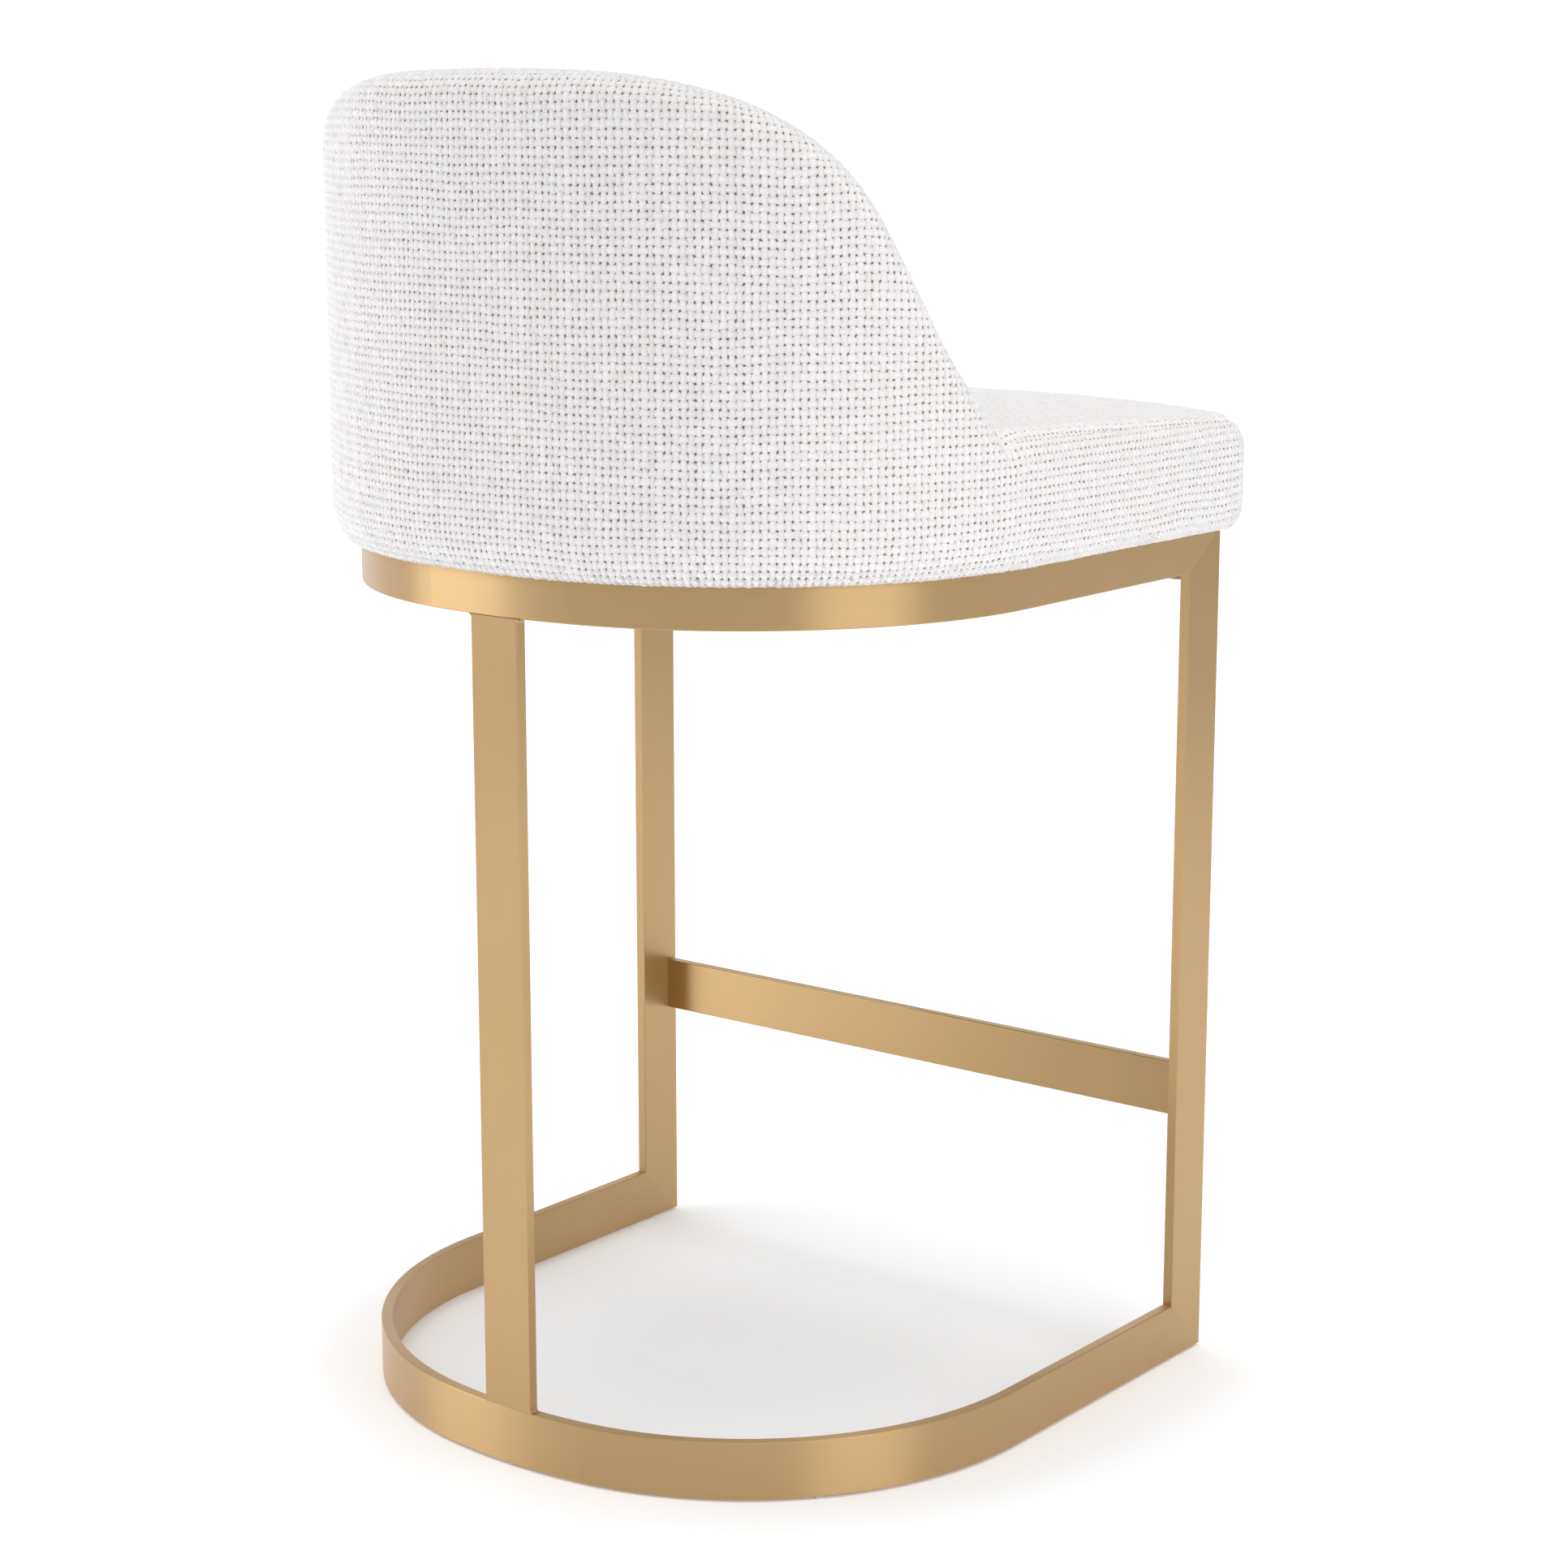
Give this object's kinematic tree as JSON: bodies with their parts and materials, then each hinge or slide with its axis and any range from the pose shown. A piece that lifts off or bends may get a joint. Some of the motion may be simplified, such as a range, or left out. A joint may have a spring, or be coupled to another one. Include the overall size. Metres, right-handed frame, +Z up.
{
  "type": "counter stool",
  "caption": "Counter stool with a barrel back: woven upholstery on a brushed brass-coloured sled frame of flat bar, with a footrest between the front legs.",
  "frame": {"origin": "on the floor, under the middle of the bounding box", "axes": "+Z up, -Y to the front, where the sitter's legs are, +X to the sitter's left"},
  "size_m": [0.545, 0.514, 0.9225],
  "materials": {
    "brass_finish": "satin",
    "woven_fabric": "matte",
    "foam": "matte",
    "plywood": "matte",
    "zinc_steel": "satin",
    "nylon": "matte",
    "dust_cloth": "matte"
  },
  "bodies": {
    "root": {"base_ring": "brass_finish", "seat_ring": "brass_finish", "front_leg_left": "brass_finish", "front_leg_right": "brass_finish", "rear_leg": "brass_finish", "footrest_bar": "brass_finish", "front_rail": "brass_finish", "seat_tabs": "brass_finish", "floor_glides": "nylon", "seat_bolts": "zinc_steel", "bolt_washers": "zinc_steel", "tee_nuts": "zinc_steel", "bracket_screws": "zinc_steel", "back_brackets": "zinc_steel", "staples": "zinc_steel", "seat_board": "plywood", "back_shell": "plywood", "back_inner_foam": "foam", "back_outer_foam": "foam", "seat_foam": "foam", "back_inner_cover": "woven_fabric", "seat_top_cover": "woven_fabric", "outer_cover": "woven_fabric", "dust_cover": "dust_cloth"}
  },
  "joints": []
}
